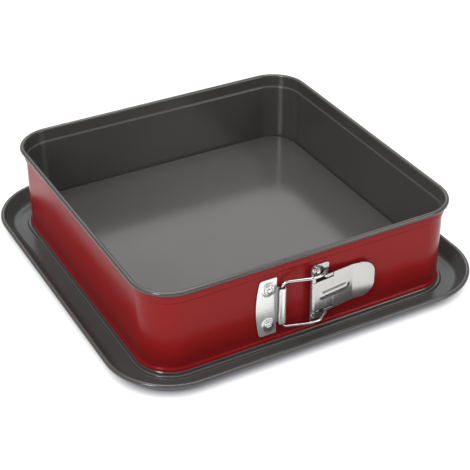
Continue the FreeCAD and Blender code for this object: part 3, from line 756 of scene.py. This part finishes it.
# %% [markdown]
# ## Finishes
# Two effects are used by several materials, so each is a node group. The first is fine grain: small
# even variation that serves as flecks in a coating or as grain in drawn steel. The second is
# handling: large soft patches where fingers and washing have changed the gloss a little.

# %% Node groups and helpers


def new_group(name, inputs, outputs):
    """A shader node group with float inputs given as (name, default) and named float outputs."""
    group = bpy.data.node_groups.new(name, "ShaderNodeTree")
    for label, default in inputs:
        if label == "Vector":
            group.interface.new_socket(label, in_out="INPUT", socket_type="NodeSocketVector")
        else:
            socket = group.interface.new_socket(label, in_out="INPUT", socket_type="NodeSocketFloat")
            socket.default_value = default
    for label in outputs:
        group.interface.new_socket(label, in_out="OUTPUT", socket_type="NodeSocketFloat")
    return group, group.nodes.new("NodeGroupInput"), group.nodes.new("NodeGroupOutput")


def link(tree, source, socket_out, target, socket_in):
    """Join two sockets by name or number."""
    tree.links.new(source.outputs[socket_out], target.inputs[socket_in])


def spread(tree, source, socket, low, high, to_low, to_high):
    """Map a value from one range to another, clamped."""
    node = tree.nodes.new("ShaderNodeMapRange")
    link(tree, source, socket, node, "Value")
    for label, value in (("From Min", low), ("From Max", high), ("To Min", to_low), ("To Max", to_high)):
        node.inputs[label].default_value = value
    return node


grain_group, grain_in, grain_out = new_group(
    "fine_grain", [("Vector", None), ("Scale", 900.0), ("Sharpness", 0.5)], ["Value", "Flecks"])
grain_noise = grain_group.nodes.new("ShaderNodeTexNoise")
grain_noise.inputs["Detail"].default_value = 3.0
link(grain_group, grain_in, "Vector", grain_noise, "Vector")
link(grain_group, grain_in, "Scale", grain_noise, "Scale")
link(grain_group, grain_in, "Sharpness", grain_noise, "Roughness")
fleck_map = spread(grain_group, grain_noise, 0, 0.62, 0.78, 0.0, 1.0)
link(grain_group, grain_noise, 0, grain_out, "Value")
link(grain_group, fleck_map, "Result", grain_out, "Flecks")

handling_group, handling_in, handling_out = new_group(
    "handling", [("Vector", None), ("Scale", 14.0)], ["Patches", "Smears"])
patch_noise = handling_group.nodes.new("ShaderNodeTexNoise")
patch_noise.inputs["Detail"].default_value = 4.0
patch_noise.inputs["Distortion"].default_value = 0.6
smear_noise = handling_group.nodes.new("ShaderNodeTexNoise")
smear_noise.inputs["Detail"].default_value = 6.0
smear_noise.inputs["Roughness"].default_value = 0.65
smear_scale = handling_group.nodes.new("ShaderNodeMath")
smear_scale.operation = "MULTIPLY"
smear_scale.inputs[1].default_value = 6.0
link(handling_group, handling_in, "Vector", patch_noise, "Vector")
link(handling_group, handling_in, "Scale", patch_noise, "Scale")
link(handling_group, handling_in, "Vector", smear_noise, "Vector")
link(handling_group, handling_in, "Scale", smear_scale, 0)
link(handling_group, smear_scale, 0, smear_noise, "Scale")
patch_map = spread(handling_group, patch_noise, 0, 0.35, 0.65, 0, 1)
smear_map = spread(handling_group, smear_noise, 0, 0.4, 0.7, 0, 1)
link(handling_group, patch_map, "Result", handling_out, "Patches")
link(handling_group, smear_map, "Result", handling_out, "Smears")


def place_group(tree, group, coordinates, socket, **values):
    """Put a group into a material with its own values."""
    node = tree.nodes.new("ShaderNodeGroup")
    node.node_tree = group
    link(tree, coordinates, socket, node, "Vector")
    for label, value in values.items():
        node.inputs[label].default_value = value
    return node


def mixed(tree, factor, factor_socket, first, second):
    """Colour mix between two RGB colours or node outputs, steered by a mask."""
    node = tree.nodes.new("ShaderNodeMix")
    node.data_type = "RGBA"
    link(tree, factor, factor_socket, node, 0)
    for socket, value in ((6, first), (7, second)):
        if isinstance(value, tuple) and isinstance(value[0], bpy.types.Node):
            link(tree, value[0], value[1], node, socket)
        else:
            node.inputs[socket].default_value = (*value, 1.0)
    return node


def bump(tree, source, socket, strength, distance):
    """Bump node from a height."""
    node = tree.nodes.new("ShaderNodeBump")
    node.inputs["Strength"].default_value = strength
    node.inputs["Distance"].default_value = distance
    link(tree, source, socket, node, "Height")
    return node


def material(name, metallic):
    """A material with a Principled shader, returned with its tree, shader and coordinates."""
    made = bpy.data.materials.new(name)
    made.use_nodes = True
    shader = made.node_tree.nodes["Principled BSDF"]
    shader.inputs["Metallic"].default_value = metallic
    return made, made.node_tree, shader, made.node_tree.nodes.new("ShaderNodeTexCoord")

# %% [markdown]
# ## Coated sheet
# The red outside is a satin baked lacquer with a fine even skin. The inside and the tray carry a
# grey non-stick coating with tiny pale flecks. On the tray's channel the same coating is made
# duller, and its colour is painted slightly greener to cancel the red light that the wall bounces
# into it. On the ring red and grey meet on one sheet, so each face of the sheet has a slot of its
# own, and the rolled rim shows the grey face.

# %% Coatings
RED_DEEP, RED_LIGHT = (0.240, 0.0100, 0.0110), (0.264, 0.0120, 0.0130)
GREY_DARK, GREY_PALE = (0.060, 0.058, 0.055), (0.066, 0.064, 0.061)
# Channel colours: the grey coating painted slightly greener, against the red light bounced from the wall.
CHANNEL_DARK, CHANNEL_PALE = (0.056, 0.062, 0.060), (0.063, 0.069, 0.067)
FLECK, RED_FLECK = (0.075, 0.074, 0.072), (0.28, 0.018, 0.018)


def coating(name, dark, pale, fleck, rough_low, rough_high, gloss, skin):
    """Satin coating whose colour and gloss vary in soft patches, with fine flecks and skin."""
    made, tree, shader, coordinates = material(name, 0.0)
    grain = place_group(tree, grain_group, coordinates, "Object", Scale=1400.0, Sharpness=0.6)
    patches = place_group(tree, handling_group, coordinates, "Object", Scale=11.0)
    ground = mixed(tree, patches, "Patches", dark, pale)
    colour = mixed(tree, grain, "Flecks", (ground, 2), fleck)
    rough = spread(tree, patches, "Smears", 0, 1, rough_low, rough_high)
    link(tree, colour, 2, shader, "Base Color")
    link(tree, rough, "Result", shader, "Roughness")
    link(tree, bump(tree, grain, "Value", skin, 0.00004), "Normal", shader, "Normal")
    shader.inputs["Specular IOR Level"].default_value = gloss
    return made


lacquer = coating("red_lacquer", RED_DEEP, RED_LIGHT, RED_FLECK, 0.20, 0.26, 0.12, 0.03)
nonstick = coating("nonstick_coating", GREY_DARK, GREY_PALE, FLECK, 0.16, 0.20, 0.50, 0.03)
channel_coat = coating("bounce_tinted_channel_coating", CHANNEL_DARK, CHANNEL_PALE, FLECK, 0.22, 0.27, 0.34, 0.04)

# %% [markdown]
# ## Steel
# The latch is pressed from rolled sheet: fine lines run along it and its gloss is uneven. The catch
# plate is painted paler and made duller than the bracket and the lever, a painted stand-in for the
# bright reflection of the floor on its face. The rivets, the bail and the wires in the rims are
# plainer. All five finishes come from one function, which also paints shade into crevices.

# %% Steel finishes
# Painted shade: steel's colour is pulled towards TARNISH wherever other surfaces lie within CREVICE_REACH.
CREVICE_REACH, TARNISH = 0.0032, (0.035, 0.035, 0.04)
ROLLED, DRAWN, EVEN = (0.06, 1, 1), (0.1, 1, 1), (1, 1, 1)      # how the grain is stretched


def steel(name, colour_dark, colour_light, rough_low, rough_high, stretch, lines, metallic=1.0):
    """Bare steel whose grain is the fine grain group on stretched coordinates."""
    made, tree, shader, coordinates = material(name, metallic)
    stretched = tree.nodes.new("ShaderNodeMapping")
    stretched.inputs["Scale"].default_value = stretch
    link(tree, coordinates, "Object", stretched, "Vector")
    grain = place_group(tree, grain_group, stretched, "Vector", Scale=lines, Sharpness=0.55)
    patches = place_group(tree, handling_group, coordinates, "Object", Scale=22.0)
    colour = mixed(tree, patches, "Patches", colour_dark, colour_light)
    rough = tree.nodes.new("ShaderNodeMix")
    rough.data_type = "FLOAT"
    rough.inputs[2].default_value = rough_low
    rough.inputs[3].default_value = rough_high
    link(tree, patches, "Smears", rough, 0)
    # Painted shade in crevices and beside rivets, hooks and slits, found by the occlusion node.
    crevice = tree.nodes.new("ShaderNodeAmbientOcclusion")
    crevice.inputs["Distance"].default_value = CREVICE_REACH
    tarnish = spread(tree, crevice, "AO", 0.35, 0.92, 0.0, 1.0)
    tarnished = mixed(tree, tarnish, "Result", TARNISH, (colour, 2))
    link(tree, tarnished, 2, shader, "Base Color")
    link(tree, rough, 0, shader, "Roughness")
    link(tree, bump(tree, grain, "Value", 0.02, 0.00003), "Normal", shader, "Normal")
    return made


# Painted reflection: the catch plate's base colour is paler than the lever's, standing in for the bright
# floor that its face reflects.
catch_finish = steel("steel_painted_pale_for_reflection", (0.80, 0.80, 0.785), (0.86, 0.86, 0.845),
                     0.22, 0.29, ROLLED, 1600.0, 0.6)
latch_finish = steel("pressed_steel", (0.50, 0.495, 0.485), (0.56, 0.555, 0.54),
                     0.18, 0.24, ROLLED, 1600.0, 0.88)
rivet_finish = steel("rivet_steel", (0.66, 0.66, 0.66), (0.74, 0.74, 0.74),
                     0.16, 0.22, EVEN, 1200.0, 0.9)
wire_finish = steel("drawn_wire", (0.60, 0.59, 0.58), (0.66, 0.65, 0.64), 0.12, 0.17, DRAWN, 1800.0)
core_finish = steel("core_wire", (0.35, 0.34, 0.33), (0.45, 0.44, 0.43), 0.35, 0.5, EVEN, 1200.0)

FINISHES = [(nonstick, (ring_fixed, ring_free, seam_strip, tray)), (lacquer, (ring_fixed, ring_free)),
            (channel_coat, (tray,)), (catch_finish, (catch,)), (latch_finish, (bracket, lever)),
            (rivet_finish, (pin, *rivets.values())), (wire_finish, (bail,)),
            (core_finish, (tray_wire, rim_wire_fixed, rim_wire_free))]
for finish, pieces in FINISHES:
    for piece in pieces:
        piece.data.materials.append(finish)
CHANNEL_FROM_WALL = 4.5
channel_end = ROLL_CENTRE[0] + CORNER_CENTRE - 2 * TRAY_ROLL_R
for polygon in tray.data.polygons:
    x, y = (max(abs(value) / MM - CORNER_CENTRE, 0) for value in polygon.center[:2])
    outwards = CORNER_CENTRE + math.hypot(x, y)
    in_channel = WALL_OUTER + CHANNEL_FROM_WALL < outwards < channel_end
    polygon.material_index = int(in_channel)

# %% [markdown]
# ## Floor, light and camera
# The floor is pale paper that glows a little, with a painted contact shadow close to the tray. The
# backdrop is white to the camera and grey to everything else. One large soft light hangs above,
# with weaker ones behind and at both sides. The camera is a long lens some 98 cm away, to the left
# and above.

# %% Floor
floor_mesh = bpy.data.meshes.new("studio_floor")
FLOOR_HALF, FLOOR_GLOW, CONTACT_REACH = 12.0, 0.86, 0.008
floor_mesh.from_pydata([(-FLOOR_HALF, -FLOOR_HALF, 0), (FLOOR_HALF, -FLOOR_HALF, 0),
                        (FLOOR_HALF, FLOOR_HALF, 0), (-FLOOR_HALF, FLOOR_HALF, 0)], [], [(0, 1, 2, 3)])
floor = bpy.data.objects.new("studio_floor", floor_mesh)
bpy.context.scene.collection.objects.link(floor)
floor_finish, floor_tree, floor_shader, floor_place = material("studio_paper", 0.0)
paper = place_group(floor_tree, grain_group, floor_place, "Object", Scale=400.0, Sharpness=0.5)
paper_colour = mixed(floor_tree, paper, "Flecks", (0.26, 0.26, 0.26), (0.25, 0.25, 0.25))
link(floor_tree, paper_colour, 2, floor_shader, "Base Color")
# Painted shadow: the paper's glow falls to blue-grey where the tray is close by.
contact = floor_tree.nodes.new("ShaderNodeAmbientOcclusion")
contact.inputs["Distance"].default_value = CONTACT_REACH
contact_light = spread(floor_tree, contact, "AO", 0.2, 0.8, 0.0, 1.0)
contact_colour = mixed(floor_tree, contact_light, "Result", (0.10, 0.10, 0.13), (1.0, 1.0, 1.0))
link(floor_tree, contact_colour, 2, floor_shader, "Emission Color")
floor_shader.inputs["Emission Strength"].default_value = FLOOR_GLOW
floor_shader.inputs["Roughness"].default_value = 0.9
floor_shader.inputs["Specular IOR Level"].default_value = 0.1
floor_mesh.materials.append(floor_finish)

# %% Lights
world = bpy.data.worlds.new("studio")
bpy.context.scene.world = world
world.use_nodes = True
sky = world.node_tree
sky_way = sky.nodes.new("ShaderNodeTexCoord")
sky_split = sky.nodes.new("ShaderNodeSeparateXYZ")
link(sky, sky_way, "Generated", sky_split, "Vector")
sky_height = spread(sky, sky_split, "Z", 0.25, 0.9, 0.0, 1.0)
sky_ramp = mixed(sky, sky_height, "Result", (0.09, 0.09, 0.095), (0.9, 0.9, 0.9))
sky_rays = sky.nodes.new("ShaderNodeLightPath")
sky_seen = mixed(sky, sky_rays, "Is Camera Ray", (sky_ramp, 2), (1.12, 1.12, 1.12))
link(sky, sky_seen, 2, sky.nodes["Background"], "Color")
sky.nodes["Background"].inputs["Strength"].default_value = 0.9


def soft_light(name, place, aim, size, power):
    """A rectangular area light that faces a point."""
    data = bpy.data.lights.new(name, "AREA")
    data.shape = "RECTANGLE"
    data.size, data.size_y = size
    data.energy = power
    light = bpy.data.objects.new(name, data)
    light.location = place
    light.rotation_euler = (Vector(aim) - Vector(place)).to_track_quat("-Z", "Y").to_euler()
    bpy.context.scene.collection.objects.link(light)


soft_light("overhead", (0.0, 0.15, 1.6), (0, 0, 0), (1.2, 1.2), 18.0)
soft_light("behind", (0.55, 1.15, 1.05), (0, 0, 0.03), (1.6, 0.8), 5.0)
soft_light("left_front", (-1.25, -0.75, 0.9), (0, 0, 0.03), (0.35, 0.8), 12.0)
soft_light("right_front", (0.9, -1.3, 0.8), (0, 0, 0.03), (0.5, 0.8), 5.0)

# %% Camera
camera_data = bpy.data.cameras.new("product_camera")
camera_data.sensor_width = 36.0
camera_data.lens = 97.38
camera_data.clip_end = 50.0
camera = bpy.data.objects.new("product_camera", camera_data)
TARGET = Vector((11.43, 9.08, 2.8)) * MM
AZIMUTH, ELEVATION, DISTANCE = math.radians(-28.766), math.radians(33.244), 983.73 * MM
back = Vector((math.sin(AZIMUTH) * math.cos(ELEVATION), -math.cos(AZIMUTH) * math.cos(ELEVATION),
               math.sin(ELEVATION)))
camera.location = TARGET + back * DISTANCE
camera.rotation_euler = (-back).to_track_quat("-Z", "Y").to_euler()
bpy.context.scene.collection.objects.link(camera)
bpy.context.scene.camera = camera
bpy.context.scene.view_settings.view_transform = "Standard"
